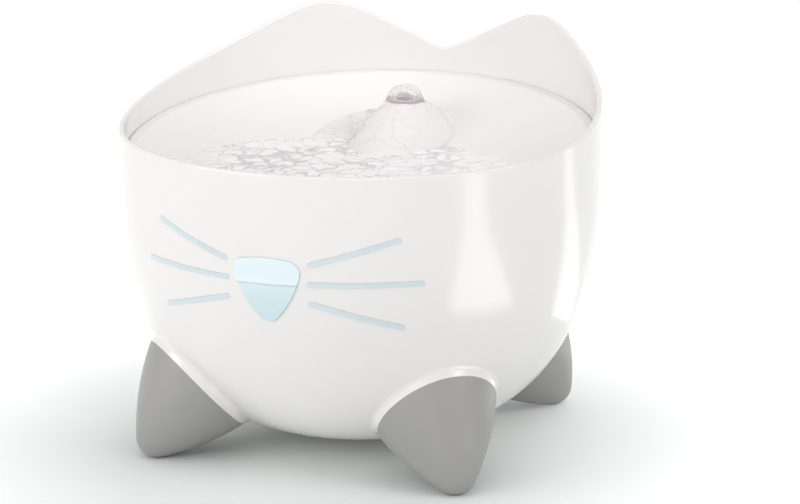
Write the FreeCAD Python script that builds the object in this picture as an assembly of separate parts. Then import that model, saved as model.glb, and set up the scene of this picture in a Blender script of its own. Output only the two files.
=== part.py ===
import FreeCAD, Part
import math
import os

from FreeCAD import Placement, Rotation, Vector

# Pet water fountain with a cat's face, in millimetres.
# The origin is on the floor under the middle of the bowl, +Z is up and the face looks towards -Y.

X = Vector(1, 0, 0)
Y = Vector(0, 1, 0)
Z = Vector(0, 0, 1)

# Fits
SNUG = 0.1  # gap between moulded pieces of one body
CLEAR = 0.4  # gap between pieces that part or move past each other
RUNNING = 0.06  # gap between the impeller's bore and its shaft

# Bowl
RIM_RADIUS = 120.0
WALL = 2.5
BASE_HEIGHT = 8.7  # underside of the bowl over the floor
BASE_ARC = 82.2  # large radius between the flat base and the side
SIDE_ARC = 206.7  # very large radius up to the upright part of the wall
BELLY_HEIGHT = 132.0  # the wall is upright from here to the rim
LIP_HEIGHT = 159.6  # rim at the face
RIM_ROUND = 1.0

# Ears, as angles round the bowl from the face
EAR_RISE = 42.1  # ear tips over the lip
EAR_ANGLE = 149.5
EAR_START = 48.0
EAR_CURVE = 2.3
EAR_OVERSHOOT = 1.13
EAR_BLEND = 0.5
DIP_SHARE = 0.44  # dip between the ears, as a share of the rise
DIP_ROUND = 0.044
DIP_SLOPE = 0.72
RIM_POINTS = 72

# Tray, in a plane that drops towards the face
TRAY_HEIGHT = 152.4
TRAY_TILT = 6.2
FLANGE = 2.2
FLANGE_WIDTH = 5.0
DISH_DEPTH = 19.0
DISH_FLOOR_ARC = 700.0
DISH_SIDE_ARC = 100.0
LEDGE_LIP = 1.5

# Spout
SPOUT_Y = 62.0
SPOUT_HEIGHT = 159.5
SPOUT_BORE = 5.5
MOUND_TOP = 10.4
MOUND_BASE_HEIGHT = 134.0
MOUND_BASE_Y = 70.0
MOUND_BASE_WIDTH = 33.0
MOUND_BASE_LENGTH = 62.5
MOUND_WALL = 3.0
NOZZLE_WALL = 0.9
NOZZLE_FLANGE = 8.6
NOZZLE_THICK = 1.2
NOZZLE_DEPTH = 6.0
SKIRT_WALL = 1.6
SKIRT_LENGTH = 26.0

# Overflow slots and filter under the front of the tray
FILTER_Y = -62.0
FILTER_RADIUS = 41.5
FILTER_DEPTH = 42.0
COLLAR_WALL = 2.0
COLLAR_DEPTH = 28.0
BASKET_WALL = 1.8
BASKET_TOP = 14.0
FOAM_THICK = 3.8
DRAIN_COUNT = 5
DRAIN_RADIUS = 98.0
DRAIN_SIZE = (6.0, 3.0)
DRAIN_STEP = 6.5
GRILLE_SLOT = 3.0
GRILLE_STEP = 8.0

# Nose window
NOSE_HEIGHT = 105.0
NOSE_HALF_WIDTH = 18.0
NOSE_TOP = 12.6
NOSE_TOP_BOW = 2.2
NOSE_BOTTOM = 19.4
NOSE_SIDE_BOW = 3.0
NOSE_ROUND = 6.0
NOSE_PROUD = 0.8
NOSE_RECESS = 1.5
NOSE_REBATE = 2.2
SEAL_THICK = 0.6

# Whiskers, as distance round the wall from the face and height: inner end, outer end
WHISKERS = {
    "upper": ((21.4, 116.9), (64.0, 130.0)),
    "middle": ((21.1, 107.8), (74.6, 108.1)),
    "lower": ((21.1, 98.5), (63.7, 85.8)),
}
WHISKER_WIDTH = 2.7
WHISKER_DEPTH = 1.0
WHISKER_PROUD = 0.3

# Feet
FOOT_ANGLES = {"front_right": 46, "rear_right": 136, "rear_left": 224, "front_left": 314}
FOOT_INSET = 10.5  # centre of the tip, in from the rim radius
FOOT_TIP = 10.5
FOOT_FLAT = 0.5  # how much of the round tip is cut flat at the floor
FOOT_LEAN = 48.5  # the cone's axis over the horizontal
FOOT_TIP_TURN = 40.0
FOOT_SIDE_ARC = 130.0
FOOT_LENGTH = 66.0
FOOT_WALL = 2.4
ROOT_PROUD = 3.0  # white root of each foot over the bowl
ROOT_FLARE = 3.0
BOSS_RADIUS = 5.0
SCREW_RADIUS = 1.6
SCREW_HEAD = 3.2
SCREW_HEAD_HEIGHT = 2.0
SCREW_LENGTH = 14.0
PAD_RADIUS = 5.2
PAD_THICK = 2.4

# Pump
PUMP_WIDTH = 42.0
PUMP_LENGTH = 35.0
PUMP_HEIGHT = 40.0
PUMP_WALL = 2.5
PUMP_ROUND = 4.0
PUMP_AXIS = 26.0  # shaft over the pump's underside
CAP_THICK = 5.0
WELL_BORE = 8.2
WELL_WALL = 1.6
WELL_DEPTH = 29.0
VOLUTE_RADIUS = 17.0
VOLUTE_DEPTH = 15.0
COVER_THICK = 2.0
SPIGOT_BORE = 4.5
SPIGOT_WALL = 1.9
SPIGOT_HEIGHT = 13.0
INTAKE_SLOTS = 8
SHAFT_RADIUS = 1.25
BUSH_RADIUS = 3.5
BUSH_LENGTH = 4.0
MAGNET_RADIUS = 7.4
MAGNET_BORE = 3.0
MAGNET_LENGTH = 19.0
BLADE_COUNT = 7
BLADE_RADIUS = 11.5
BLADE_THICK = 1.4
BLADE_WIDTH = 7.0
HUB_RADIUS = 4.5
CORE_DEPTH = 16.0
CORE_LEG = 5.0
COIL_THICK = 2.4
CUP_RADIUS = 7.0
CUP_STEM = 3.0
CUP_HEIGHT = 4.5
CUP_SPOTS = ((-13, -13), (13, -13), (-13, 9), (13, 9))
PLINTH_PROUD = 0.6  # platform under the cups over the highest floor that they reach
LED_SIZE = (18.0, 12.0)
LED_RECESS = 3.2
LED_BOARD = 1.2
LED_DOME = 3.5

# Riser
RISER_WALL = 2.0
RISER_BEAD = 1.0  # thicker socket at the riser's foot
RISER_STANDOFF = 1.0  # foot of the riser over the volute
RISER_REACH = 4.0  # top of the riser below the spout's shoulder
RING_SECTION = 0.7

# Cord gland
GLAND_BORE = 2.6
GLAND_RADIUS = 5.5
GLAND_FLANGE = 7.5
GLAND_LIP = 0.8
GLAND_HEIGHT = 146.0
PUMP_GLAND_RADIUS = 4.0
PUMP_GLAND_LENGTH = 7.0

# Derived places
PUMP_REAR = SPOUT_Y - VOLUTE_DEPTH / 2
PUMP_FRONT = PUMP_REAR - PUMP_LENGTH
PUMP_MIDDLE = (PUMP_FRONT + PUMP_REAR) / 2
COVER_SEAT = PUMP_REAR + VOLUTE_DEPTH
EAR_TOP = LIP_HEIGHT + EAR_RISE + 6
RISER_RADIUS = SPOUT_BORE + RISER_WALL
SKIRT_BORE = RISER_RADIUS + CLEAR
SPOUT_SHOULDER = SPOUT_HEIGHT - NOZZLE_DEPTH - 3
DISH_RADIUS = RIM_RADIUS - WALL - FLANGE_WIDTH
TRAY_PLACE = Placement(Vector(0, 0, TRAY_HEIGHT), Rotation(X, TRAY_TILT))


def save(shape, name):
    """Write one named piece of the fountain."""
    shape = shape.removeSplitter()
    shape.exportStep("parts/" + name + ".step")
    print(name, len(shape.Solids), round(shape.Volume / 1000, 2), "cm3", shape.isValid())


def turn_about_z(shape, angle):
    """A copy of a shape, turned round the bowl's axis."""
    copy = shape.copy()
    copy.rotate(Vector(0, 0, 0), Z, angle)
    return copy


def spin(edges, place=Placement()):
    """Solid of revolution about Z from a closed outline in the XZ plane."""
    solid = Part.Face(Part.Wire(edges)).revolve(Vector(0, 0, 0), Z, 360)
    solid = Part.makeSolid(solid) if solid.ShapeType == "Shell" else solid
    solid.Placement = place
    return solid


def flat(radius, height):
    """Point of an outline in the XZ plane."""
    return Vector(radius, 0, height)


def path(points):
    """Straight edges through a closed row of points."""
    ring = list(points) + [points[0]]
    return [Part.makeLine(a, b) for a, b in zip(ring, ring[1:])]


def swing(centre, radius, start, end):
    """Arc in the XZ plane about a centre, between two angles in degrees."""
    points = []
    for share in (0, 0.5, 1):
        angle = math.radians(start + (end - start) * share)
        points.append(centre + flat(radius * math.cos(angle), radius * math.sin(angle)))
    return Part.Arc(*points).toShape(), points[0], points[2]


def tube(outer, inner, length, base, axis=Z):
    """Hollow round bar."""
    return Part.makeCylinder(outer, length, base, axis).cut(Part.makeCylinder(inner, length, base, axis))


def rounded_box(width, length, height, base, radius):
    """Upright box, centred in X on its base point, starting there in Y and Z, with rounded upright edges."""
    box = Part.makeBox(width, length, height, base - X * (width / 2))
    upright = [e for e in box.Edges if abs(e.tangentAt(e.FirstParameter).z) > 0.99]
    return box.makeFillet(radius, upright)


# Bowl form


def bowl_turn():
    """Angle, in degrees, over which the side arc turns before it meets the base arc."""
    rise = BELLY_HEIGHT - BASE_HEIGHT - BASE_ARC
    return math.degrees(math.asin(rise / (SIDE_ARC - BASE_ARC)))


def bowl_centres():
    """Centres of the side arc and of the base arc."""
    side = flat(RIM_RADIUS - SIDE_ARC, BELLY_HEIGHT)
    turn = math.radians(bowl_turn())
    reach = SIDE_ARC - BASE_ARC
    return side, side + flat(reach * math.cos(turn), -reach * math.sin(turn))


def bowl_form(inset, top=EAR_TOP):
    """Solid inside the bowl's outer surface, moved inwards by an inset."""
    side, base = bowl_centres()
    turn = bowl_turn()
    base_edge, base_start, base_end = swing(base, BASE_ARC - inset, -90, -turn)
    side_edge, side_start, side_end = swing(side, SIDE_ARC - inset, -turn, 0)
    corner = flat(side_end.x, top)
    floor = Part.makeLine(flat(0, base_start.z), base_start)
    rest = [Part.makeLine(side_end, corner), Part.makeLine(corner, flat(0, top))]
    rest.append(Part.makeLine(flat(0, top), flat(0, base_start.z)))
    return spin([floor, base_edge, side_edge] + rest)


def wall_radius(height):
    """Outer radius of the bowl at a height."""
    side, base = bowl_centres()
    if height >= BELLY_HEIGHT:
        return RIM_RADIUS
    meeting = BELLY_HEIGHT - SIDE_ARC * math.sin(math.radians(bowl_turn()))
    centre, arc = (side, SIDE_ARC) if height > meeting else (base, BASE_ARC)
    return centre.x + math.sqrt(arc ** 2 - (height - centre.z) ** 2)


def floor_height(radius):
    """Height of the bowl's inner floor at a distance from its axis."""
    _, base = bowl_centres()
    return base.z - math.sqrt((BASE_ARC - WALL) ** 2 - max(radius - base.x, 0) ** 2)


def wall_point(around, height, out=0.0):
    """Point on the bowl at a distance round the wall from the face."""
    radius = wall_radius(height)
    angle = around / radius
    return Vector((radius + out) * math.sin(angle), -(radius + out) * math.cos(angle), height)


def rim_height(angle):
    """Height of the rim: level at the face, two rounded ears and a dip between them at the back."""
    rise = max(0.0, (angle - EAR_START) / (EAR_ANGLE - EAR_START))
    front = EAR_OVERSHOOT * rise ** EAR_CURVE
    fall = (180 - angle) / (180 - EAR_ANGLE)
    back = DIP_SHARE - DIP_ROUND + math.hypot(DIP_ROUND, DIP_SLOPE * fall)
    blend = max(EAR_BLEND - abs(front - back), 0) / EAR_BLEND
    return LIP_HEIGHT + EAR_RISE * (min(front, back) - blend ** 2 * EAR_BLEND / 4)


def above_rim():
    """Solid over the wavy rim, which trims the wall."""
    rings = []
    for radius in (RIM_RADIUS - 4 * WALL, RIM_RADIUS + 4 * WALL):
        points = []
        for step in range(RIM_POINTS):
            angle = 360.0 * step / RIM_POINTS
            turn = math.radians(angle)
            height = rim_height(min(angle, 360 - angle))
            points.append(Vector(radius * math.sin(turn), -radius * math.cos(turn), height))
        curve = Part.BSplineCurve()
        curve.interpolate(points, PeriodicFlag=True)
        rings.append(curve.toShape())
    skin = Part.makeRuledSurface(rings[0], rings[1])
    return skin.extrude(Z * (2 * EAR_RISE))


def wall_skin(proud, depth):
    """Layer of the wall from a little outside its surface to a depth inside it."""
    return bowl_form(-proud).cut(bowl_form(depth))


# Height of the pump, whose cups stand on a platform just over the bowl's floor
CUP_REACH = CUP_RADIUS + max(math.hypot(across, PUMP_MIDDLE + along) for across, along in CUP_SPOTS)
PUMP_BASE = floor_height(CUP_REACH) + PLINTH_PROUD + CUP_HEIGHT
SHAFT_HEIGHT = PUMP_BASE + PUMP_AXIS


# Nose and whiskers


def nose_prism(grow):
    """Rounded triangle on the face, grown by a margin, through the front wall."""
    front = -RIM_RADIUS - 8
    half = NOSE_HALF_WIDTH + grow * 1.6
    top = NOSE_HEIGHT + NOSE_TOP + grow
    bottom = NOSE_HEIGHT - NOSE_BOTTOM - grow * 1.8
    left, right, tip = (Vector(x, front, z) for x, z in ((-half, top), (half, top), (0, bottom)))
    bow = Vector(NOSE_SIDE_BOW, 0, -NOSE_SIDE_BOW * half / (top - bottom))
    right_side = Part.Arc(right, (right + tip) * 0.5 + bow, tip).toShape()
    bow.x = -bow.x
    left_side = Part.Arc(tip, (left + tip) * 0.5 + bow, left).toShape()
    top_side = Part.Arc(left, Vector(0, front, top + NOSE_TOP_BOW), right).toShape()
    prism = Part.Face(Part.Wire([top_side, right_side, left_side])).extrude(Y * (RIM_RADIUS / 2))
    corners = [e for e in prism.Edges if e.Length > RIM_RADIUS / 2 - 0.1 and abs(e.tangentAt(0).y) > 0.99]
    return prism.makeFillet(NOSE_ROUND + grow, corners)


def nose_window():
    """Pale window, seated in the rebate with its plug through the wall."""
    head = nose_prism(-SNUG).common(wall_skin(NOSE_PROUD, NOSE_RECESS - SEAL_THICK))
    plug = nose_prism(-NOSE_REBATE - SNUG).common(wall_skin(0, WALL))
    return head.fuse(plug)


def nose_seal():
    """Soft ring under the window's edge."""
    ring = nose_prism(-SNUG).common(wall_skin(SEAL_THICK - NOSE_RECESS, NOSE_RECESS))
    return ring.cut(nose_prism(-NOSE_REBATE - SNUG))


def whisker_bar(side, name, grow, proud, depth):
    """Round-ended bar inlaid in the wall."""
    ends = [wall_point(side * around, height, 6) for around, height in WHISKERS[name]]
    middle = side * (WHISKERS[name][0][0] + WHISKERS[name][1][0]) / 2
    inward = Vector(0, 0, WHISKERS[name][0][1]) - wall_point(middle, WHISKERS[name][0][1])
    inward.normalize()
    ends[1] = ends[1] + inward * ((ends[0] - ends[1]).dot(inward))
    along = ends[1] - ends[0]
    along.normalize()
    across = inward.cross(along)
    half = WHISKER_WIDTH / 2 + grow
    start, end = ends[0] + along * half, ends[1] - along * half
    edges = [
        Part.Arc(start + across * half, start - along * half, start - across * half).toShape(),
        Part.makeLine(start - across * half, end - across * half),
        Part.Arc(end - across * half, end + along * half, end + across * half).toShape(),
        Part.makeLine(end + across * half, start + across * half),
    ]
    prism = Part.Face(Part.Wire(edges)).extrude(inward * 24)
    return prism.common(wall_skin(proud, depth))


# Feet


def foot_axis():
    """Centre of the tip and direction of the cone's axis, for a foot on the +X side."""
    lean = math.radians(FOOT_LEAN)
    return Vector(RIM_RADIUS - FOOT_INSET, 0, FOOT_TIP - FOOT_FLAT), Vector(-math.cos(lean), 0, math.sin(lean))


def foot_form(inset):
    """Rounded cone with gently bulging sides, moved inwards by an inset."""
    side = FOOT_SIDE_ARC - inset
    turn = math.radians(FOOT_TIP_TURN)
    # In the outline the axis is +Z and the tip points to -Z.
    cap, cap_start, _ = swing(flat(0, 0), FOOT_TIP - inset, -90, -FOOT_TIP_TURN)
    shift = FOOT_SIDE_ARC - FOOT_TIP
    centre = flat(-shift * math.cos(turn), shift * math.sin(turn))
    reach = math.degrees(math.asin((FOOT_LENGTH - centre.z) / side))
    flank, _, flank_end = swing(centre, side, -FOOT_TIP_TURN, reach)
    top = flat(0, flank_end.z)
    outline = [cap, flank, Part.makeLine(flank_end, top), Part.makeLine(top, cap_start)]
    corner, direction = foot_axis()
    return spin(outline, Placement(corner, Rotation(Z, direction)))


def foot_boss():
    """Upright boss on the bowl, inside the hollow of the foot."""
    centre, _ = foot_axis()
    boss = Part.makeCylinder(BOSS_RADIUS, BELLY_HEIGHT / 2, Vector(centre.x, 0, screw_seat() + SNUG))
    return boss.common(foot_form(FOOT_WALL + SNUG)).cut(bowl_form(WALL / 2))


def screw_seat():
    """Height of the foot's inner floor, which the screw clamps against the boss."""
    return PAD_THICK + SCREW_HEAD_HEIGHT + FOOT_WALL


def foot_shell():
    """Hollow grey cone, open towards the bowl, with a floor for its screw and a recess for its pad."""
    centre, _ = foot_axis()
    under = Vector(centre.x, 0, -FOOT_FLAT)
    solid_end = Part.makeCylinder(RIM_RADIUS, screw_seat() + FOOT_FLAT, under)
    shell = foot_form(0).cut(bowl_form(-ROOT_PROUD)).cut(foot_form(FOOT_WALL).cut(solid_end))
    for radius, top in ((PAD_RADIUS, PAD_THICK + SNUG), (SCREW_HEAD, PAD_THICK + SCREW_HEAD_HEIGHT),
                        (SCREW_RADIUS, screw_seat() + SNUG)):
        shell = shell.cut(Part.makeCylinder(radius + SNUG, top + FOOT_FLAT, under))
    return shell


def foot_pad():
    """Soft end of the foot's tip, flat where it meets the floor."""
    centre, _ = foot_axis()
    return foot_form(0).common(Part.makeCylinder(PAD_RADIUS, PAD_THICK, Vector(centre.x, 0, 0)))


def foot_screw():
    """Screw from the pad's recess up into the boss."""
    centre, _ = foot_axis()
    base = Vector(centre.x, 0, PAD_THICK + SNUG)
    head = Part.makeCylinder(SCREW_HEAD, SCREW_HEAD_HEIGHT - SNUG, base)
    return head.fuse(Part.makeCylinder(SCREW_RADIUS, SCREW_LENGTH, base))


def four(piece):
    """One group of the same small piece under all four feet."""
    return Part.makeCompound([turn_about_z(piece, angle - 90) for angle in FOOT_ANGLES.values()])


# Tray


def dish_centres():
    """Centres of the dish's floor arc and side arc, and the angle of the floor arc from the middle."""
    floor = flat(0, DISH_FLOOR_ARC - DISH_DEPTH)
    reach = math.hypot(DISH_RADIUS, floor.z)
    gap = DISH_FLOOR_ARC - DISH_SIDE_ARC
    spread = math.acos((gap ** 2 + reach ** 2 - DISH_SIDE_ARC ** 2) / (2 * gap * reach))
    turn = math.atan2(DISH_RADIUS, floor.z) - spread
    return floor, floor + flat(gap * math.sin(turn), -gap * math.cos(turn)), math.degrees(turn)


def dish_edges(drop):
    """Floor and side edges of the dish, from the middle outwards, moved down by a wall, up to a plane."""
    floor, side, turn = dish_centres()
    level = 0.0 if drop == 0 else -FLANGE
    floor_edge, start, _ = swing(floor, DISH_FLOOR_ARC + drop, -90, turn - 90)
    end_angle = math.degrees(math.asin((level - side.z) / (DISH_SIDE_ARC + drop)))
    side_edge, _, end = swing(side, DISH_SIDE_ARC + drop, turn - 90, end_angle)
    return [floor_edge, side_edge], start, end


def over_dish(drop):
    """Space over the dish's surface, moved down by a wall."""
    edges, start, end = dish_edges(drop)
    top = DISH_DEPTH
    wall = Part.makeLine(end, flat(end.x, top))
    lid = Part.makeLine(flat(end.x, top), flat(0, top))
    return spin(edges + [wall, lid, Part.makeLine(flat(0, top), start)], TRAY_PLACE)


def mound(drop):
    """Teardrop mound round the spout, lowered by a wall for its hollow underside."""
    base = Part.Ellipse(Vector(0, 0, 0), MOUND_BASE_LENGTH, MOUND_BASE_WIDTH).toShape()
    place = Placement(Vector(0, MOUND_BASE_Y, MOUND_BASE_HEIGHT - drop), Rotation(Z, 90))
    base.Placement = place
    top = Part.Circle(Vector(0, 0, 0), Z, MOUND_TOP).toShape()
    top.Placement = Placement(Vector(0, SPOUT_Y, SPOUT_HEIGHT - drop), Rotation(Z, 90))
    return Part.makeLoft([Part.Wire([base]), Part.Wire([top])], True, True)


def tray_shell():
    """Dish, flange and mound as one moulding of even wall."""
    upper, upper_start, upper_end = dish_edges(0)
    lower, lower_start, lower_end = dish_edges(FLANGE)
    far = RIM_RADIUS + WALL
    points = [upper_end, flat(far, 0), flat(far, -FLANGE), lower_end]
    flange = [Part.makeLine(a, b) for a, b in zip(points, points[1:])]
    outline = upper + flange + lower[::-1] + [Part.makeLine(lower_start, upper_start)]
    shell = spin(outline, TRAY_PLACE)
    raised = mound(0).common(over_dish(FLANGE / 2))
    shell = shell.fuse(raised).cut(mound(MOUND_WALL))
    edge = RIM_RADIUS - WALL - CLEAR
    return shell.common(Part.makeCylinder(edge, EAR_TOP))


def drinking_tray():
    """Tray with its spout tube, the collar for the filter and the overflow slots."""
    shell = tray_shell()
    base = Vector(0, SPOUT_Y, SPOUT_HEIGHT - SKIRT_LENGTH)
    shell = shell.fuse(Part.makeCylinder(SKIRT_BORE + SKIRT_WALL, SKIRT_LENGTH - FLANGE / 2, base))
    collar = tube(FILTER_RADIUS, FILTER_RADIUS - COLLAR_WALL, COLLAR_DEPTH, Vector(0, FILTER_Y, -COLLAR_DEPTH))
    collar.Placement = TRAY_PLACE
    shell = shell.fuse(collar.cut(over_dish(FLANGE / 2)))
    shell = shell.cut(Part.makeCylinder(SPOUT_BORE, 2 * SKIRT_LENGTH, base))
    shell = shell.cut(Part.makeCylinder(SKIRT_BORE, SPOUT_SHOULDER - base.z, base))
    slot = Part.makeBox(DRAIN_SIZE[0], DRAIN_SIZE[1], 2 * DISH_DEPTH,
                        Vector(-DRAIN_SIZE[0] / 2, -DRAIN_RADIUS - DRAIN_SIZE[1] / 2, -DISH_DEPTH))
    for number in range(DRAIN_COUNT):
        cut = turn_about_z(slot, DRAIN_STEP * (number - (DRAIN_COUNT - 1) / 2))
        cut.Placement = TRAY_PLACE.multiply(cut.Placement)
        shell = shell.cut(cut)
    return shell


def spout_nozzle():
    """Ring and sleeve pressed into the spout."""
    base = Vector(0, SPOUT_Y, SPOUT_HEIGHT)
    bore = SPOUT_BORE - SNUG - NOZZLE_WALL
    ring = tube(NOZZLE_FLANGE, bore, NOZZLE_THICK, base)
    return ring.fuse(tube(SPOUT_BORE - SNUG, bore, NOZZLE_DEPTH, base - Z * NOZZLE_DEPTH))


def filter_basket():
    """Slotted cup pushed onto the tray's collar."""
    inner = FILTER_RADIUS + SNUG
    cup = Part.makeCylinder(inner + BASKET_WALL, FILTER_DEPTH - BASKET_TOP, Vector(0, FILTER_Y, -FILTER_DEPTH))
    floor = -FILTER_DEPTH + BASKET_WALL
    cup = cup.cut(Part.makeCylinder(inner, FILTER_DEPTH, Vector(0, FILTER_Y, floor)))
    count = int((FILTER_RADIUS - GRILLE_STEP) / GRILLE_STEP)
    for number in range(-count, count + 1):
        place = number * GRILLE_STEP
        length = 2 * math.sqrt((FILTER_RADIUS - BASKET_WALL) ** 2 - place ** 2) - GRILLE_STEP
        corner = Vector(place - GRILLE_SLOT / 2, FILTER_Y - length / 2, -FILTER_DEPTH)
        cup = cup.cut(Part.makeBox(GRILLE_SLOT, length, BASKET_WALL, corner))
    cup.Placement = TRAY_PLACE
    return cup.cut(over_dish(FLANGE + CLEAR))


def filter_layer(bottom, top):
    """Round layer of filter between two depths under the tray's plane."""
    radius = FILTER_RADIUS - SNUG
    layer = Part.makeCylinder(radius, bottom - top, Vector(0, FILTER_Y, -bottom))
    layer.Placement = TRAY_PLACE
    return layer


# Pump


def rod(radius, start, end, height=SHAFT_HEIGHT, across=0.0):
    """Round bar along Y between two places."""
    return Part.makeCylinder(radius, end - start, Vector(across, start, height), Y)


def pump_housing():
    """Motor box, rotor well, volute and outlet spigot in one moulding, open at the front."""
    box = Part.makeBox(PUMP_WIDTH, PUMP_LENGTH, PUMP_HEIGHT, Vector(-PUMP_WIDTH / 2, PUMP_FRONT, PUMP_BASE))
    long_edges = [e for e in box.Edges if abs(e.tangentAt(e.FirstParameter).y) > 0.99]
    box = box.makeFillet(PUMP_ROUND, long_edges)
    hollow = Part.makeBox(PUMP_WIDTH - 2 * PUMP_WALL, PUMP_LENGTH - PUMP_WALL, PUMP_HEIGHT - 2 * PUMP_WALL,
                          Vector(PUMP_WALL - PUMP_WIDTH / 2, PUMP_FRONT, PUMP_BASE + PUMP_WALL))
    well_end = PUMP_REAR - WELL_DEPTH
    body = box.cut(hollow).fuse(rod(WELL_BORE + WELL_WALL, well_end - WELL_WALL, PUMP_REAR))
    body = body.fuse(rod(VOLUTE_RADIUS, PUMP_REAR - PUMP_WALL / 2, COVER_SEAT))
    spigot = Vector(0, SPOUT_Y, SHAFT_HEIGHT)
    reach = VOLUTE_RADIUS + SPIGOT_HEIGHT
    body = body.fuse(Part.makeCylinder(SPIGOT_BORE + SPIGOT_WALL, reach, spigot))
    body = body.cut(rod(WELL_BORE, well_end, COVER_SEAT))
    body = body.cut(rod(VOLUTE_RADIUS - PUMP_WALL, PUMP_REAR, COVER_SEAT))
    body = body.cut(Part.makeCylinder(SPIGOT_BORE, reach, spigot))
    hole = Vector(PUMP_WIDTH / 2 - PUMP_WALL, PUMP_MIDDLE, PUMP_BASE + PUMP_HEIGHT / 4)
    return body.cut(Part.makeCylinder(PUMP_GLAND_RADIUS - 1, 2 * PUMP_WALL, hole, X))


def motor_cap():
    """Front plate of the motor box, with a recess for the light."""
    plate = Part.makeBox(PUMP_WIDTH, CAP_THICK, PUMP_HEIGHT, Vector(-PUMP_WIDTH / 2, PUMP_FRONT - CAP_THICK, PUMP_BASE))
    long_edges = [e for e in plate.Edges if abs(e.tangentAt(e.FirstParameter).y) > 0.99]
    plate = plate.makeFillet(PUMP_ROUND, long_edges)
    margin = PUMP_WALL + SNUG
    rim = Part.makeBox(PUMP_WIDTH - 2 * margin, PUMP_WALL / 2, PUMP_HEIGHT - 2 * margin,
                       Vector(margin - PUMP_WIDTH / 2, PUMP_FRONT, PUMP_BASE + margin))
    return plate.fuse(rim).cut(led_block(0, 0, LED_RECESS))


def led_block(margin, start, end):
    """Flat block in the cap's recess, between two depths behind the cap's front."""
    width, height = LED_SIZE
    front = PUMP_FRONT - CAP_THICK
    corner = Vector(margin - width / 2, front + start, SHAFT_HEIGHT - height / 2 + margin)
    return Part.makeBox(width - 2 * margin, end - start, height - 2 * margin, corner)


def led_lens():
    """Clear cover of the light with a low dome."""
    lens = led_block(SNUG, 0, LED_RECESS - LED_BOARD)
    centre = Vector(0, PUMP_FRONT - CAP_THICK + LED_DOME / 2, SHAFT_HEIGHT)
    return lens.fuse(Part.makeSphere(LED_DOME, centre).common(led_block(SNUG, -LED_DOME, LED_BOARD)))


def pump_cover():
    """Intake grille that closes the volute and holds the front bush."""
    inner = VOLUTE_RADIUS - PUMP_WALL
    disc = rod(VOLUTE_RADIUS, COVER_SEAT, COVER_SEAT + COVER_THICK)
    rim = rod(inner - SNUG, COVER_SEAT - COVER_THICK, COVER_SEAT)
    rim = rim.cut(rod(inner - COVER_THICK, COVER_SEAT - COVER_THICK, COVER_SEAT))
    hub = rod(BUSH_RADIUS + COVER_THICK, bush_seat(), COVER_SEAT + COVER_THICK)
    cover = disc.fuse(rim)
    slot = Part.makeBox(COVER_THICK, COVER_THICK, inner - BUSH_RADIUS - 3 * COVER_THICK,
                        Vector(-COVER_THICK / 2, COVER_SEAT, SHAFT_HEIGHT + BUSH_RADIUS + 1.5 * COVER_THICK))
    for number in range(INTAKE_SLOTS):
        cut = slot.copy()
        cut.rotate(Vector(0, 0, SHAFT_HEIGHT), Y, 360.0 * (number + 0.5) / INTAKE_SLOTS)
        cover = cover.cut(cut)
    return cover.fuse(hub).cut(rod(BUSH_RADIUS, bush_seat(), bush_seat() + BUSH_LENGTH))


def bush_seat():
    """Inner face of the front bush."""
    return COVER_SEAT + COVER_THICK / 4 - BUSH_LENGTH


def shaft_bushes():
    """Soft bush at each end of the shaft."""
    bushes = []
    for start in (PUMP_REAR - WELL_DEPTH, bush_seat()):
        bushes.append(rod(BUSH_RADIUS, start, start + BUSH_LENGTH).cut(rod(SHAFT_RADIUS, start, start + BUSH_LENGTH)))
    return Part.makeCompound(bushes)


def magnet_start():
    """Inner end of the rotor magnet."""
    return PUMP_REAR - WELL_DEPTH + BUSH_LENGTH + 1


def rotor_magnet():
    """Ring magnet on the impeller's sleeve."""
    start = magnet_start()
    return rod(MAGNET_RADIUS, start, start + MAGNET_LENGTH).cut(rod(MAGNET_BORE, start, start + MAGNET_LENGTH))


def impeller():
    """Wheel with straight blades on a long sleeve."""
    start = magnet_start()
    end = bush_seat() - 1
    back = end - BLADE_WIDTH
    wheel = rod(MAGNET_BORE, start, end).fuse(rod(HUB_RADIUS, start + MAGNET_LENGTH, end))
    wheel = wheel.fuse(rod(BLADE_RADIUS, back - BLADE_THICK, back))
    blade = Part.makeBox(BLADE_THICK, BLADE_WIDTH, BLADE_RADIUS - HUB_RADIUS + 1,
                         Vector(-BLADE_THICK / 2, back, SHAFT_HEIGHT + HUB_RADIUS - 1))
    for number in range(BLADE_COUNT):
        copy = blade.copy()
        copy.rotate(Vector(0, 0, SHAFT_HEIGHT), Y, 360.0 * number / BLADE_COUNT)
        wheel = wheel.fuse(copy)
    return wheel.cut(rod(SHAFT_RADIUS + RUNNING, start, end))


def core_leg():
    """Lower leg of the laminated core, which carries the coil."""
    width = PUMP_WIDTH - 2 * PUMP_WALL - 2
    corner = Vector(-width / 2, PUMP_MIDDLE - CORE_DEPTH / 2, PUMP_BASE + PUMP_WALL + COIL_THICK)
    return Part.makeBox(width, CORE_DEPTH, CORE_LEG, corner)


def stator_core():
    """Laminated core: a leg under the rotor and a pole on each side of it."""
    leg = core_leg()
    box = leg.BoundBox
    height = PUMP_BASE + PUMP_HEIGHT - PUMP_WALL - SNUG - box.ZMin
    block = Part.makeBox(box.XLength, CORE_DEPTH, height, Vector(box.XMin, box.YMin, box.ZMin))
    well = WELL_BORE + WELL_WALL + SNUG
    window = Part.makeBox(1.4 * well, CORE_DEPTH, SHAFT_HEIGHT - box.ZMax, Vector(-0.7 * well, box.YMin, box.ZMax))
    return block.cut(rod(well, box.YMin, box.YMax)).cut(window)


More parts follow.
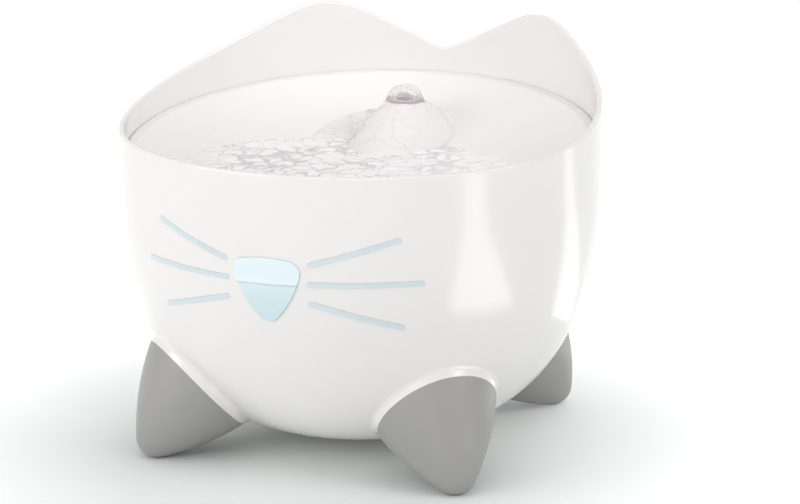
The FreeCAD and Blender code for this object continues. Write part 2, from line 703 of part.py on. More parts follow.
def stator_coil():
    """Copper winding round the leg."""
    box = core_leg().BoundBox
    well = WELL_BORE + WELL_WALL
    width = 1.4 * well - 2 * SNUG
    height = CORE_LEG + 2 * COIL_THICK - 2 * SNUG
    corner = Vector(-width / 2, box.YMin - COIL_THICK, box.ZMin - COIL_THICK + SNUG)
    block = Part.makeBox(width, CORE_DEPTH + 2 * COIL_THICK, height, corner)
    return block.cut(core_leg())


def suction_cups():
    """Four cups between the pump and the plinth."""
    cups = []
    for across, along in CUP_SPOTS:
        place = Vector(across, PUMP_MIDDLE + along, PUMP_BASE - CUP_HEIGHT)
        bell = Part.makeCone(CUP_RADIUS, CUP_STEM, CUP_HEIGHT * 0.6, place)
        cups.append(bell.fuse(Part.makeCylinder(CUP_STEM, CUP_HEIGHT, place)))
    return Part.makeCompound(cups)


def pump_gland():
    """Soft sleeve where the cord enters the motor box."""
    base = Vector(PUMP_WIDTH / 2, PUMP_MIDDLE, PUMP_BASE + PUMP_HEIGHT / 4)
    sleeve = Part.makeCylinder(PUMP_GLAND_RADIUS, PUMP_GLAND_LENGTH, base, X)
    plug = Part.makeCylinder(PUMP_GLAND_RADIUS - 1 - SNUG, PUMP_WALL, base - X * PUMP_WALL, X)
    bore = Part.makeCylinder(GLAND_BORE - SNUG, 4 * PUMP_GLAND_LENGTH, base - X * PUMP_WALL, X)
    return sleeve.fuse(plug).cut(bore)


# Riser


def riser_tube():
    """Tube from the pump's spigot up into the spout's skirt, with a groove for its ring."""
    low = SHAFT_HEIGHT + VOLUTE_RADIUS + RISER_STANDOFF
    socket = SPIGOT_HEIGHT - RISER_STANDOFF + SNUG
    high = SPOUT_SHOULDER - RISER_REACH
    base = Vector(0, SPOUT_Y, low)
    pipe = tube(RISER_RADIUS, SPOUT_BORE, high - low, base)
    pipe = pipe.fuse(Part.makeCylinder(RISER_RADIUS + RISER_BEAD, socket + RISER_WALL, base))
    pipe = pipe.cut(Part.makeCylinder(SPIGOT_BORE + SPIGOT_WALL + SNUG, socket, base))
    pipe = pipe.cut(Part.makeCylinder(SPOUT_BORE, high - low, base))
    groove = 2 * RING_SECTION + 2 * SNUG
    place = Vector(0, SPOUT_Y, ring_height() - groove / 2)
    return pipe.cut(tube(RISER_RADIUS + 1, ring_radius() - RING_SECTION, groove, place))


def ring_height():
    """Height of the sealing ring."""
    return SPOUT_SHOULDER - RISER_REACH - 6


def ring_radius():
    """Middle radius of the sealing ring, which stands just proud of the riser."""
    return RISER_RADIUS + SNUG - RING_SECTION


def riser_ring():
    """Sealing ring in the riser's groove."""
    return Part.makeTorus(ring_radius(), RING_SECTION, Vector(0, SPOUT_Y, ring_height()))


# Bowl


def cord_gland():
    """Soft bush through the rear wall for the cord."""
    inner = RIM_RADIUS - WALL
    bush = rod(GLAND_RADIUS - SNUG, inner - GLAND_LIP, RIM_RADIUS + GLAND_LIP, GLAND_HEIGHT)
    outside = bowl_form(-GLAND_LIP).cut(bowl_form(0)).common(rod(GLAND_FLANGE, 0, 2 * RIM_RADIUS, GLAND_HEIGHT))
    inside = bowl_form(WALL).cut(bowl_form(WALL + GLAND_LIP))
    inside = inside.common(rod(GLAND_FLANGE, 0, 2 * RIM_RADIUS, GLAND_HEIGHT))
    bush = bush.common(bowl_form(-GLAND_LIP)).fuse(outside).fuse(inside)
    return bush.cut(rod(GLAND_BORE, 0, 2 * RIM_RADIUS, GLAND_HEIGHT))


def ledge():
    """Sloping ledge inside the wall that the tray rests on."""
    top = -FLANGE - CLEAR
    inner = dish_edges(FLANGE)[2].x + CLEAR
    outer = RIM_RADIUS + WALL
    low = top - LEDGE_LIP
    points = [flat(inner, top), flat(outer, top), flat(outer, low - (outer - inner)), flat(inner, low)]
    return spin(path(points), TRAY_PLACE).common(bowl_form(WALL / 2))


def plinth():
    """Flat platform on the bowl's floor that the pump's cups grip."""
    reach = PUMP_LENGTH + 2 * CUP_STEM
    base = Vector(0, PUMP_MIDDLE - reach / 2 - CUP_STEM / 2, BASE_HEIGHT + WALL / 2)
    block = rounded_box(PUMP_WIDTH, reach, PUMP_BASE - CUP_HEIGHT - base.z, base, PUMP_ROUND)
    return block.common(bowl_form(WALL / 2))


def rooted_form():
    """Solid bowl with the white roots of its feet: the tops of the cones, which flare into the bowl."""
    form = bowl_form(0)
    cone = foot_form(0)
    seam = cone.section(form)
    root = cone.common(bowl_form(-ROOT_PROUD))
    angles = [angle - 90 for angle in FOOT_ANGLES.values()]
    form = form.fuse([turn_about_z(root, angle) for angle in angles]).removeSplitter()
    seams = Part.makeCompound([turn_about_z(seam, angle) for angle in angles])
    joins = []
    for edge in form.Edges:
        middle = edge.valueAt((edge.FirstParameter + edge.LastParameter) / 2)
        if seams.distToShape(Part.Vertex(middle))[0] < SNUG / 10:
            joins.append(edge)
    return form.makeFillet(ROOT_FLARE, joins)


def wall():
    """Wall and floor of the bowl up to the wavy rim, whose edges are rounded."""
    body = rooted_form().cut(bowl_form(WALL)).cut(above_rim())
    top = [face for face in body.Faces if face.BoundBox.ZMin > LIP_HEIGHT - WALL]
    rim = min(top, key=lambda face: face.Area)
    return body.makeFillet(RIM_ROUND, rim.Edges)


def bowl():
    """Bowl with its ears, ledge, plinth, foot roots and all cut-outs."""
    body = wall()
    body = body.fuse([ledge(), plinth()])
    centre, _ = foot_axis()
    hole = Part.makeCylinder(SCREW_RADIUS, SCREW_LENGTH + SNUG, Vector(centre.x, 0, PAD_THICK + SNUG))
    body = body.fuse(four(foot_boss())).cut(four(hole))
    body = body.cut(rod(GLAND_RADIUS, 0, 2 * RIM_RADIUS, GLAND_HEIGHT))
    body = body.cut(nose_prism(-NOSE_REBATE).common(wall_skin(1, 2 * WALL)))
    body = body.cut(nose_prism(0).common(wall_skin(1, NOSE_RECESS)))
    for side in (-1, 1):
        for name in WHISKERS:
            body = body.cut(whisker_bar(side, name, SNUG / 2, 1, WHISKER_DEPTH))
    return body


def main():
    """Build every piece and write it."""
    os.makedirs("parts", exist_ok=True)
    save(bowl(), "bowl")
    save(nose_window(), "nose_window")
    save(nose_seal(), "nose_seal")
    for side, word in ((-1, "left"), (1, "right")):
        for name in WHISKERS:
            save(whisker_bar(side, name, 0, WHISKER_PROUD, WHISKER_DEPTH), "whisker_" + name + "_" + word)
    foot = foot_shell()
    for name, angle in FOOT_ANGLES.items():
        save(turn_about_z(foot, angle - 90), "foot_" + name)
    save(four(foot_pad()), "foot_pads")
    save(four(foot_screw()), "foot_screws")
    save(cord_gland(), "cord_gland")
    save(drinking_tray(), "drinking_tray")
    save(spout_nozzle(), "spout_nozzle")
    save(filter_basket(), "filter_basket")
    bottom = FILTER_DEPTH - BASKET_WALL
    top = COLLAR_DEPTH + SNUG
    save(filter_layer(bottom, top + FOAM_THICK), "filter_cartridge")
    save(filter_layer(top + FOAM_THICK, top), "filter_foam")
    save(pump_housing(), "pump_housing")
    save(motor_cap(), "motor_cap")
    save(pump_cover(), "pump_cover")
    save(stator_core(), "stator_core")
    save(stator_coil(), "stator_coil")
    save(rod(SHAFT_RADIUS, PUMP_REAR - WELL_DEPTH + SNUG, bush_seat() + BUSH_LENGTH - SNUG), "pump_shaft")
    save(shaft_bushes(), "shaft_bushes")
    save(rotor_magnet(), "rotor_magnet")
    save(impeller(), "impeller")
    save(suction_cups(), "suction_cups")
    save(led_block(SNUG, LED_RECESS - LED_BOARD, LED_RECESS), "led_board")
    save(led_lens(), "led_lens")
    save(pump_gland(), "pump_gland")
    save(riser_tube(), "riser_tube")
    save(riser_ring(), "riser_ring")


main()
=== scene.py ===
import math

import bmesh
import bpy
from mathutils import Euler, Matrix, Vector
from mathutils.bvhtree import BVHTree
from mathutils.noise import noise


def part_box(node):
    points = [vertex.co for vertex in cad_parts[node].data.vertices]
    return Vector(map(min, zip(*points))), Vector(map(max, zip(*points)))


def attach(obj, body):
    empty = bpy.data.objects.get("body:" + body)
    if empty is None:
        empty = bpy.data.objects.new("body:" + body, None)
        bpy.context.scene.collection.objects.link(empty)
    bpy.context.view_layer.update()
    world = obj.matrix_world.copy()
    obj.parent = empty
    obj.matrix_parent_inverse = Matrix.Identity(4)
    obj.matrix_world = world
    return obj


# Pet water fountain: looks, running water, floor and light around the fixed frame, in metres.
# The face looks towards -Y and the floor is z = 0.

MM = 0.001

# Camera, at the photograph's viewing angle
CAMERA_PLACE = (0.5492, -1.3643, 0.4722)
CAMERA_DIP = 0.2519
CAMERA_TURN = 0.3693
CAMERA_LENS = 135.6
CAMERA_SENSOR = 36

# Window: share of its height that stands under water, and the fade of the tint below and over that level
WINDOW_SHARE = 0.62
WINDOW_FADE = (16 * MM, 4 * MM)
WINDOW_RIPPLE = 1.6 * MM

# Tray, where the water lies
OVER_TRAY = 0.2
LOWEST_DISH = 0.12
WATER_EDGE = 0.15 * MM  # how far the water reaches into the tray's surface
SPOUT_PLACE = Vector((0.0, 62 * MM, 0.0))
HOLE_SHADE = (0.44, 0.34, 0.38, 1)  # painted shade of the spout's dark hole, seen through the water

# Pool in the front of the dish
WATER_LEVEL = 139.2 * MM
WATER_SLOPE = 0.018  # rise of the running water's surface towards the spout
POOL_MIDDLE = Vector((0.0, -30 * MM, WATER_LEVEL))
POOL_TURNS = 240
POOL_RINGS = 60
POOL_DEPTH = 5 * MM
POOL_SKIN = 0.3 * MM  # least thickness over shallow ground
POOL_SUNK = 0.5 * MM  # how much deeper than its bowl shape it may reach
SHORE = 4 * MM  # width along the edge in which the waves die down
SWELL_RISE = 0.22
SWELL_RATE = 750.0
SWELL_REACH = 0.09
CHOP = ((0.42, 95, 0.31), (0.25, 190, 0.73))  # rise, rate and layer of the noise

# Skirt of water on the mound
FILM_TURNS = 180
FILM_RINGS = 36
FILM_START = 8.0 * MM
FILM_THICK = 0.7 * MM
FILM_LEAST = 0.05 * MM
FILM_SUNK = 0.4 * MM
FILM_TUCK = 0.3 * MM  # how far its outer edge dips into the tray
FILM_MIDDLE = Vector((-8 * MM, 49 * MM, 0.0))
FILM_HALF_WIDTH = 38 * MM
FILM_HALF_LENGTH = 40 * MM

# Water that wells up over the spout: distance from its axis and height of its outline
DOME_TURNS = 96
DOME_OUTLINE = ((0.0, 168.3), (2.6, 168.1), (5.0, 167.3), (6.9, 165.9), (8.3, 163.9), (9.2, 161.6),
                (9.9, 159.6), (11.2, 157.6), (13.2, 155.6))
DOME_SUNK = 1 * MM

# Stage: where round the middle the floor turns white, and how much it is lifted near and far
SHADE_MIDDLE = (0.0, -0.07, 0.0)
SHADE_REACH = (0.09, 0.27)
SHADE_LIFT = (0.0, 0.46)
STAGE_COLOUR = (0.90, 0.93, 0.92, 1)
STAGE_HALF_WIDTH = 3.5
STAGE_FRONT = -3.0
STAGE_REAR = 3.0
STAGE_BEND = 1.0  # radius between the floor and the backdrop
STAGE_HEIGHT = 3.0

# Light
WORLD_LIGHT = 0.50
CARD_HEIGHT = 2 * MM

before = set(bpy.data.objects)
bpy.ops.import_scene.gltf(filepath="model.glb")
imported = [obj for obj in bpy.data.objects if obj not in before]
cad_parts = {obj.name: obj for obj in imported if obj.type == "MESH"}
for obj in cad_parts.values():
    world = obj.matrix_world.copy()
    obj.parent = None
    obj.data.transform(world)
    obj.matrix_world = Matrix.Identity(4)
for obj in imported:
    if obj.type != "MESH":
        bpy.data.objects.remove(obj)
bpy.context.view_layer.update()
window_low, window_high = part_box("nose_window")
WINDOW_LEVEL = window_low.z + WINDOW_SHARE * (window_high.z - window_low.z)


def new_material(name):
    """An empty procedural material: the material, its principled shader and a function that adds a node."""
    material = bpy.data.materials.new(name)
    material.use_nodes = True
    return material, material.node_tree.nodes["Principled BSDF"], node_maker(material.node_tree)


def node_maker(tree):
    """A function that adds a node to a tree. Its inputs are constants, or outputs that it links."""
    def add(kind, inputs=(), **settings):
        node = tree.nodes.new(kind)
        for key, value in settings.items():
            setattr(node, key, value)
        fill(tree, node, inputs)
        return node

    return add


def fill(tree, node, inputs):
    """Set a node's inputs to constants, or link them to other nodes' outputs."""
    for socket, value in dict(inputs).items():
        if isinstance(value, bpy.types.NodeSocket):
            tree.links.new(value, node.inputs[socket])
        else:
            node.inputs[socket].default_value = value


def ramp(add, value, low, high, start=0.0, end=1.0):
    """A value that runs from start to end while another runs from low to high."""
    return add("ShaderNodeMapRange", {"Value": value, "From Min": low, "From Max": high,
                                      "To Min": start, "To Max": end}).outputs["Result"]


def maths(add, operation, *values):
    """The result of one operation on numbers or outputs."""
    return add("ShaderNodeMath", dict(enumerate(values)), operation=operation).outputs["Value"]


def shade(colour, factor):
    """A colour made lighter or darker, with full opacity."""
    return tuple(min(channel * factor, 1.0) for channel in colour) + (1.0,)


def moulded(name, colour, roughness, grain, bump, spread=0.03, coat=0.0, metallic=0.0, stretch=(1, 1, 1)):
    """Moulded plastic, rubber or metal: faint clouds in the colour, uneven gloss and a fine surface grain."""
    material, shader, add = new_material(name)
    place = add("ShaderNodeTexCoord").outputs["Object"]
    where = add("ShaderNodeMapping", {"Vector": place, "Scale": stretch}).outputs["Vector"]
    clouds = add("ShaderNodeTexNoise", {"Vector": where, "Scale": 18.0, "Detail": 3.0,
                                        "Roughness": 0.55}).outputs["Fac"]
    tint = add("ShaderNodeValToRGB", {"Fac": clouds})
    ends = tint.color_ramp.elements
    ends[0].position = 0.3
    ends[0].color = shade(colour, 1 - spread)
    ends[1].position = 0.7
    ends[1].color = shade(colour, 1 + spread)
    fine = add("ShaderNodeTexNoise", {"Vector": where, "Scale": grain, "Detail": 4.0, "Roughness": 0.6})
    relief = add("ShaderNodeBump", {"Height": fine.outputs["Fac"], "Strength": bump, "Distance": 0.4 * MM})
    fill(material.node_tree, shader, {
        "Base Color": tint.outputs["Color"],
        "Roughness": ramp(add, clouds, 0.3, 0.7, roughness * 0.85, roughness * 1.15),
        "Normal": relief.outputs["Normal"],
        "Metallic": metallic,
        "Coat Weight": coat,
        "Coat Roughness": 0.18,
    })
    return material


def tinted_window(name):
    """Pale blue clear plastic that shows the water behind it as a deeper tint below a level line."""
    material, shader, add = new_material(name)
    place = add("ShaderNodeTexCoord").outputs["Object"]
    parts = add("ShaderNodeSeparateXYZ", {"Vector": place})
    ripple = add("ShaderNodeTexNoise", {"Vector": place, "Scale": 70.0, "Detail": 1.0})
    height = maths(add, "ADD", parts.outputs["Z"], maths(add, "MULTIPLY", ripple.outputs["Fac"], WINDOW_RIPPLE))
    level = ramp(add, height, WINDOW_LEVEL - WINDOW_FADE[0], WINDOW_LEVEL + WINDOW_FADE[1])
    tint = add("ShaderNodeValToRGB", {"Fac": level})
    steps = tint.color_ramp.elements
    steps[0].position = 0.0
    steps[0].color = (0.62, 0.78, 0.82, 1)
    steps[1].position = 1.0
    steps[1].color = (0.80, 0.91, 0.96, 1)
    for position, colour in ((0.76, (0.70, 0.84, 0.87, 1)), (0.80, (0.52, 0.68, 0.73, 1)),
                             (0.84, (0.86, 0.94, 0.97, 1))):
        steps.new(position).color = colour
    fill(material.node_tree, shader, {
        "Base Color": tint.outputs["Color"],
        "Roughness": 0.12,
        "Subsurface Weight": 0.15,
        "Subsurface Radius": (2 * MM, 3 * MM, 4 * MM),
        "Coat Weight": 0.5,
        "Coat Roughness": 0.05,
    })
    return material


def clear_plastic(name, colour, alpha):
    """Thin clear plastic that lets part of the light through and keeps its gloss."""
    material, shader, add = new_material(name)
    place = add("ShaderNodeTexCoord").outputs["Object"]
    clouds = add("ShaderNodeTexNoise", {"Vector": place, "Scale": 60.0, "Detail": 2.0}).outputs["Fac"]
    tint = add("ShaderNodeValToRGB", {"Fac": clouds})
    tint.color_ramp.elements[0].color = shade(colour, 0.94)
    tint.color_ramp.elements[1].color = shade(colour, 1.04)
    relief = add("ShaderNodeBump", {"Height": clouds, "Strength": 0.15, "Distance": 0.3 * MM})
    fill(material.node_tree, shader, {
        "Base Color": tint.outputs["Color"],
        "Normal": relief.outputs["Normal"],
        "Alpha": alpha,
        "Roughness": 0.08,
        "Coat Weight": 0.6,
    })
    return material


def water(name, lines, body, clear, cell, width, relief, calm=None, core=None, below=None):
    """Running water: bright cells of painted caustic light between thin, winding lines of painted ripple shade.
    clear is the opacity of lines and cells.

    The lines thin out between the two places along X in calm, and towards the front. The water takes
    the painted shade of the spout's dark hole within the distance core of its axis, or under the height below."""
    material, shader, add = new_material(name)
    place = add("ShaderNodeTexCoord").outputs["Object"]
    parts = add("ShaderNodeSeparateXYZ", {"Vector": place})
    wander = add("ShaderNodeTexNoise", {"Vector": place, "Scale": cell * 0.7, "Detail": 2.0})
    push = add("ShaderNodeVectorMath", {0: wander.outputs["Color"], 1: (2.2 / cell,) * 3,
                                        2: (-1.1 / cell,) * 3}, operation="MULTIPLY_ADD")
    where = add("ShaderNodeVectorMath", {0: place, 1: push.outputs["Vector"]}).outputs["Vector"]
    cells = add("ShaderNodeTexVoronoi", {"Vector": where, "Scale": cell}, feature="DISTANCE_TO_EDGE")
    broad = add("ShaderNodeTexNoise", {"Vector": place, "Scale": cell * 0.3, "Detail": 1.0})
    thick = ramp(add, broad.outputs["Fac"], 0.35, 0.65, width * 0.15, width * 1.6)
    if calm:
        thick = maths(add, "MULTIPLY", thick, ramp(add, parts.outputs["Y"], -80 * MM, -15 * MM, 0.4, 1.7))
    caustic_mask = ramp(add, cells.outputs["Distance"], 0.0, thick)
    if calm:
        caustic_mask = maths(add, "MAXIMUM", caustic_mask, ramp(add, parts.outputs["X"], calm[0], calm[1], 0.0, 0.8))
    # painted ripple shade in the lines and painted caustic light in the cells
    colour = add("ShaderNodeMixRGB", {"Fac": caustic_mask, "Color1": lines, "Color2": body}).outputs["Color"]
    cover = ramp(add, caustic_mask, 0.0, 1.0, clear[0], clear[1])
    # painted shade: the dark of the spout's hole, laid into the water's colour and opacity near the spout's
    # axis or under a height
    if core or below:
        measure, edge = parts.outputs["Z"], below
        if core:
            flat = add("ShaderNodeVectorMath", {0: place, 1: (1, 1, 0)}, operation="MULTIPLY")
            away = add("ShaderNodeVectorMath", {0: flat.outputs["Vector"], 1: SPOUT_PLACE},
                       operation="DISTANCE")
            measure, edge = away.outputs["Value"], core
        ragged = maths(add, "MULTIPLY_ADD", wander.outputs["Fac"], 8 * MM, measure)
        hole_shade_mask = ramp(add, ragged, edge + 3 * MM, edge + 5 * MM, 0.75, 0.0)
        colour = add("ShaderNodeMixRGB", {"Fac": hole_shade_mask, "Color1": colour, "Color2": HOLE_SHADE}).outputs["Color"]
        cover = maths(add, "MAXIMUM", cover, hole_shade_mask)
    waves = add("ShaderNodeBump", {"Height": wander.outputs["Fac"], "Strength": relief, "Distance": 3 * MM})
    fill(material.node_tree, shader, {
        "Base Color": colour,
        "Alpha": cover,
        "Normal": waves.outputs["Normal"],
        "Roughness": 0.05,
        "IOR": 1.33,
    })
    return material


FINISHES = {
    "shell_white": moulded("shell_white", (0.87, 0.843, 0.828), 0.16, 900.0, 0.03, 0.008, coat=0.4),
    "tray_white": moulded("tray_white", (0.875, 0.857, 0.842), 0.42, 1100.0, 0.05, 0.008),
    "window_blue": tinted_window("window_blue"),
    "whisker_blue": moulded("whisker_blue", (0.68, 0.755, 0.80), 0.30, 1400.0, 0.06, 0.03),
    "foot_grey": moulded("foot_grey", (0.35, 0.342, 0.338), 0.38, 1600.0, 0.16, 0.025),
    "pad_grey": moulded("pad_grey", (0.17, 0.17, 0.17), 0.65, 1500.0, 0.35, 0.06),
    "rubber_grey": moulded("rubber_grey", (0.22, 0.23, 0.235), 0.60, 1500.0, 0.30, 0.06),
    "rubber_white": moulded("rubber_white", (0.72, 0.71, 0.69), 0.55, 1500.0, 0.25, 0.03),
    "steel": moulded("steel", (0.60, 0.60, 0.61), 0.28, 1800.0, 0.12, 0.04, metallic=1.0, stretch=(1, 1, 12)),
    "nozzle_clear": clear_plastic("nozzle_clear", (0.52, 0.44, 0.47), 0.8),
    "basket_white": moulded("basket_white", (0.74, 0.74, 0.73), 0.34, 1200.0, 0.08, 0.02),
    "carbon_dark": moulded("carbon_dark", (0.055, 0.055, 0.058), 0.85, 420.0, 0.90, 0.35),
    "foam_white": moulded("foam_white", (0.70, 0.69, 0.66), 0.90, 520.0, 1.00, 0.12),
    "pump_dark": moulded("pump_dark", (0.045, 0.047, 0.050), 0.42, 1300.0, 0.22, 0.10),
    "copper": moulded("copper", (0.72, 0.33, 0.17), 0.32, 700.0, 0.50, 0.10, metallic=1.0, stretch=(14, 1, 1)),
    "ceramic": moulded("ceramic", (0.80, 0.79, 0.76), 0.22, 1500.0, 0.04, 0.02),
    "magnet": moulded("magnet", (0.075, 0.074, 0.078), 0.45, 900.0, 0.25, 0.12),
    "impeller_white": moulded("impeller_white", (0.76, 0.76, 0.74), 0.30, 1200.0, 0.08, 0.02),
    "board_green": moulded("board_green", (0.03, 0.17, 0.075), 0.38, 650.0, 0.25, 0.20),
    "lens_clear": clear_plastic("lens_clear", (0.84, 0.88, 0.90), 0.45),
    "riser_clear": clear_plastic("riser_clear", (0.82, 0.86, 0.88), 0.50),
    # running water: lines of painted ripple shade between cells of painted caustic light
    "water_pool": water("water_pool", (0.66, 0.59, 0.63, 1), (1.0, 0.985, 0.99, 1), (0.92, 0.95),
                        cell=100.0, width=0.085, relief=0.14, calm=(-5 * MM, 70 * MM)),
    "water_film": water("water_film", (0.74, 0.68, 0.71, 1), (1.0, 0.975, 0.98, 1), (0.70, 0.66),
                        cell=62.0, width=0.030, relief=0.35, core=9.5 * MM),
    "water_dome": water("water_dome", (0.60, 0.52, 0.56, 1), (0.95, 0.92, 0.925, 1), (0.60, 0.25),
                        cell=120.0, width=0.05, relief=0.20, below=160.8 * MM),
}

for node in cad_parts.values():
    for place in node.material_slots:
        place.material = FINISHES[place.material.name.split(".")[0]]


def smooth_object(mesh, name, material):
    """A finished mesh becomes a smooth object of the scene."""
    data = bpy.data.meshes.new(name)
    mesh.to_mesh(data)
    mesh.free()
    data.materials.append(material)
    for face in data.polygons:
        face.use_smooth = True
    made = bpy.data.objects.new(name, data)
    bpy.context.scene.collection.objects.link(made)
    return made


def closed_sheet(name, tops, bottoms):
    """A sheet of water between two surfaces, closed along its edges, that rides on the tray.

    Each surface is a list of rings, and each ring a list of points."""
    mesh = bmesh.new()
    upper, lower = ([[mesh.verts.new(point) for point in ring] for ring in rings] for rings in (tops, bottoms))
    count = len(tops[-1])
    pairs = [(i, (i + 1) % count) for i in range(count)]
    for layer in (upper, lower):
        for inner, outer in zip(layer, layer[1:]):
            for i, j in pairs:
                if len(inner) == 1:
                    mesh.faces.new((inner[0], outer[i], outer[j]))
                else:
                    mesh.faces.new((inner[i], outer[i], outer[j], inner[j]))
    for ring in (0, -1):
        if len(upper[ring]) > 1:
            for i, j in pairs:
                mesh.faces.new((upper[ring][i], upper[ring][j], lower[ring][j], lower[ring][i]))
    bmesh.ops.recalc_face_normals(mesh, faces=mesh.faces)
    piece = smooth_object(mesh, name, FINISHES[name])
    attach(piece, "tray")


def ways(count):
    """Level directions, evenly spaced round the circle."""
    turns = [math.tau * i / count for i in range(count)]
    return [(turn, Vector((math.cos(turn), math.sin(turn), 0))) for turn in turns]


tray_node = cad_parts["drinking_tray"]
tray_surface = BVHTree.FromPolygons([vertex.co[:] for vertex in tray_node.data.vertices],
                                    [face.vertices[:] for face in tray_node.data.polygons])
DOWN = Vector((0, 0, -1))


def floor_of_tray(x, y, fallback):
    """Height of the tray's upper surface under a point."""
    hit = tray_surface.ray_cast(Vector((x, y, OVER_TRAY)), DOWN)[0]
    return hit.z if hit and hit.z > LOWEST_DISH else fallback


def swell(x, y):
    """Small standing waves that spread from the spout over the pool."""
    distance = math.hypot(x - SPOUT_PLACE.x, y - SPOUT_PLACE.y)
    rings = SWELL_RISE * math.sin(distance * SWELL_RATE) * math.exp(-distance / SWELL_REACH)
    (rise, rate, layer), (fine_rise, fine_rate, fine_layer) = CHOP
    broad = rise * noise(Vector((x, y, layer)) * rate)
    fine = fine_rise * noise(Vector((y, x, fine_layer)) * fine_rate)
    return (rings + broad + fine) * MM


def water_pool():
    """The shallow pool in the front of the dish, which ends where the tray's surface rises through it."""
    tops = [[POOL_MIDDLE.copy()]]
    bottoms = [[POOL_MIDDLE - Vector((0, 0, POOL_DEPTH))]]
    shore = []
    for turn, level in ways(POOL_TURNS):
        way = level + Vector((0, 0, WATER_SLOPE * math.sin(turn)))
        hit = tray_surface.ray_cast(POOL_MIDDLE, way)[0]
        shore.append((way, (hit - POOL_MIDDLE).length + WATER_EDGE))
    for k in range(1, POOL_RINGS + 1):
        share = math.sin(k / POOL_RINGS * math.pi / 2)
        top = []
        bottom = []
        for way, reach in shore:
            point = POOL_MIDDLE + way * reach * share
            still = min((1 - share) * reach / SHORE, 1.0)
            deepest = point.z - POOL_DEPTH * (1 - share * share) - POOL_SUNK
            ground = floor_of_tray(point.x, point.y, deepest) - WATER_EDGE
            top.append(point + Vector((0, 0, swell(point.x, point.y) * still)))
            bottom.append(Vector((point.x, point.y, max(min(ground, point.z - POOL_SKIN), deepest))))
        tops.append(top)
        bottoms.append(bottom)
    closed_sheet("water_pool", tops, bottoms)


def water_film():
    """The thin skirt of water that runs from the spout down over its mound."""
    tops = []
    bottoms = []
    for k in range(FILM_RINGS + 1):
        share = k / FILM_RINGS
        top = []
        bottom = []
        for _, way in ways(FILM_TURNS):
            start = SPOUT_PLACE + way * FILM_START
            end = FILM_MIDDLE + Vector((FILM_HALF_WIDTH * way.x, FILM_HALF_LENGTH * way.y, 0))
            point = start.lerp(end, share)
            ground = floor_of_tray(point.x, point.y, WATER_LEVEL)
            streak = 0.55 + 0.45 * noise(Vector((way.x * 4, way.y * 4, share * 1.3)))
            wave = 0.25 * math.sin(share * 42 + 1.5 * streak)
            thick = max(FILM_THICK * (streak + wave) * min((1 - share) * 6, 1.0), FILM_LEAST)
            tuck = FILM_TUCK if k == FILM_RINGS else 0.0
            top.append(Vector((point.x, point.y, ground + thick - tuck)))
            bottom.append(Vector((point.x, point.y, ground - FILM_SUNK)))
        tops.append(top)
        bottoms.append(bottom)
    closed_sheet("water_film", tops, bottoms)


def water_dome():
    """The low dome of water that wells up over the spout and spreads onto the mound."""
    outline = [Vector((radius * MM, 0, height * MM)) for radius, height in DOME_OUTLINE]
    sunk = Vector((0, 0, outline[-1].z - DOME_SUNK))
    tops = [[SPOUT_PLACE + Vector((0, 0, outline[0].z))]]
    bottoms = [[SPOUT_PLACE + sunk]]
    for knee in outline[1:]:
        top = []
        bottom = []
        for turn, way in ways(DOME_TURNS):
            flute = 1 + 0.05 * math.sin(7 * turn + 0.6) + 0.03 * math.sin(11 * turn)
            lean = noise(Vector((way.x * 2, way.y * 2, knee.z * 300))) * 0.5 * MM
            side = SPOUT_PLACE + way * (knee.x * flute + lean)
            top.append(side + Vector((0, 0, knee.z)))
            bottom.append(side + sunk)
        tops.append(top)
        bottoms.append(bottom)
    closed_sheet("water_dome", tops, bottoms)


def shown_rays(add):
    """1 for rays from the camera, from gloss and through clear pieces, which see the stage as white."""
    rays = add("ShaderNodeLightPath").outputs
    return maths(add, "MAXIMUM", maths(add, "MAXIMUM", rays["Is Camera Ray"], rays["Is Glossy Ray"]),
                 rays["Is Transmission Ray"])


def white_stage():
    """A pale floor that curves up into a backdrop and keeps the object's shadow."""
    material, shader, add = new_material("stage_white")
    place = add("ShaderNodeTexCoord").outputs["Object"]
    reach = add("ShaderNodeVectorMath", {0: place, 1: SHADE_MIDDLE}, operation="DISTANCE").outputs["Value"]
    lift = ramp(add, reach, *SHADE_REACH, *SHADE_LIFT)
    fill(material.node_tree, shader, {
        "Base Color": STAGE_COLOUR,
        "Roughness": 0.7,
        "Emission Color": (1, 1, 1, 1),
        "Emission Strength": maths(add, "MULTIPLY", shown_rays(add), lift),
    })
    mesh = bmesh.new()
    outline = [(STAGE_FRONT, 0.0), (STAGE_REAR, 0.0)]
    for n in range(1, 10):
        bend = math.radians(10 * n)
        outline.append((STAGE_REAR + STAGE_BEND * math.sin(bend), STAGE_BEND * (1 - math.cos(bend))))
    outline.append((STAGE_REAR + STAGE_BEND, STAGE_HEIGHT))
    left = [mesh.verts.new((-STAGE_HALF_WIDTH, y, z)) for y, z in outline]
    right = [mesh.verts.new((STAGE_HALF_WIDTH, y, z)) for y, z in outline]
    for k in range(len(outline) - 1):
        mesh.faces.new((left[k], right[k], right[k + 1], left[k + 1]))
    stage = smooth_object(mesh, "stage_floor", material)


def soft_world():
    """A plain white surround that lights the object evenly."""
    world = bpy.data.worlds.new("studio")
    bpy.context.scene.world = world
    world.use_nodes = True
    tree = world.node_tree
    add = node_maker(tree)
    strength = ramp(add, shown_rays(add), 0.0, 1.0, WORLD_LIGHT, 1.0)
    fill(tree, tree.nodes["Background"], {"Color": (1, 1, 1, 1), "Strength": strength})


def area_lamp(name, size, strength):
    """A rectangular lamp."""
    light = bpy.data.lights.new(name, "AREA")
    light.shape = "RECTANGLE"
    light.size, light.size_y = size
    light.energy = strength
    lamp = bpy.data.objects.new(name, light)
    bpy.context.scene.collection.objects.link(lamp)
    return lamp


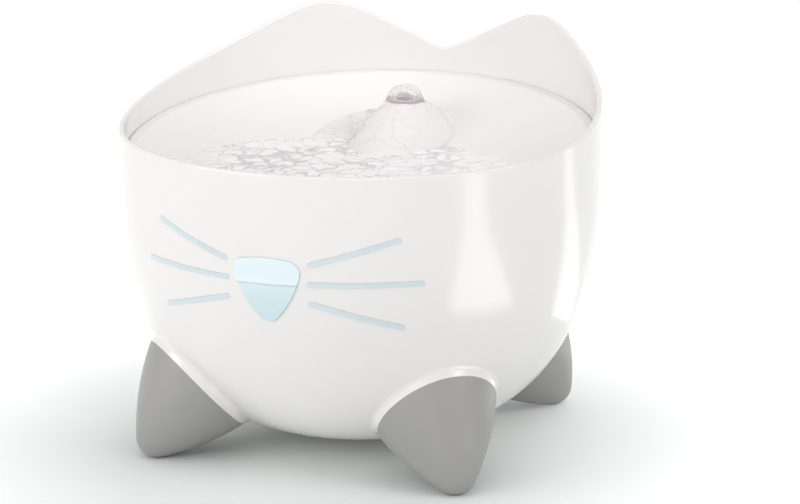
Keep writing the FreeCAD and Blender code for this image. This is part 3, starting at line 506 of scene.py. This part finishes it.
def softbox(name, azimuth, elevation, distance, size, strength, aim=(0, 0, 0.1), spread=180):
    """A lamp placed round the object and turned to it: azimuth from the face towards +X, in degrees."""
    lamp = area_lamp(name, size, strength)
    lamp.data.spread = math.radians(spread)
    around = math.radians(azimuth)
    up = math.radians(elevation)
    way = Vector((math.sin(around) * math.cos(up), -math.cos(around) * math.cos(up), math.sin(up)))
    lamp.location = Vector(aim) + distance * way
    lamp.rotation_euler = way.to_track_quat("Z", "Y").to_euler()


def floor_card(name, azimuth, near, far, width, strength):
    """A bright strip that lies on the floor and shows only in gloss, as a tall highlight on the wall."""
    lamp = area_lamp(name, (width, far - near), strength)
    around = math.radians(azimuth)
    middle = (near + far) / 2
    lamp.location = (middle * math.sin(around), -middle * math.cos(around), CARD_HEIGHT)
    lamp.rotation_euler = Euler((math.pi, 0, around))
    for kind in ("camera", "diffuse", "transmission", "volume_scatter", "shadow"):
        setattr(lamp, "visible_" + kind, False)


def photo_camera():
    """The camera at the photograph's place, turn and focal length."""
    scene = bpy.context.scene
    camera = bpy.data.objects.new("camera", bpy.data.cameras.new("camera"))
    camera.location = CAMERA_PLACE
    camera.rotation_euler = Euler((math.pi / 2 - CAMERA_DIP, 0, CAMERA_TURN))
    camera.data.lens = CAMERA_LENS
    camera.data.sensor_width = CAMERA_SENSOR
    scene.collection.objects.link(camera)
    scene.camera = camera


water_pool()
water_film()
water_dome()
white_stage()
soft_world()
softbox("key_left", -38, 16, 1.7, (1.3, 0.6), 8.6)
softbox("front", 12, 10, 2.0, (1.2, 0.6), 2.0)
softbox("top", 20, 80, 1.6, (1.4, 1.4), 4.8)
softbox("fill_right", 82, 30, 1.8, (0.9, 0.6), 6.5)
softbox("ear_light", 42, 36, 0.9, (0.24, 0.12), 0.038, aim=(-0.07, 0.08, 0.17), spread=28)
floor_card("strip_right", 72, 0.23, 1.1, 0.13, 0.8)
floor_card("strip_rear", 130, 0.20, 1.1, 0.10, 0.38)
photo_camera()
bpy.context.scene.view_settings.view_transform = "Standard"
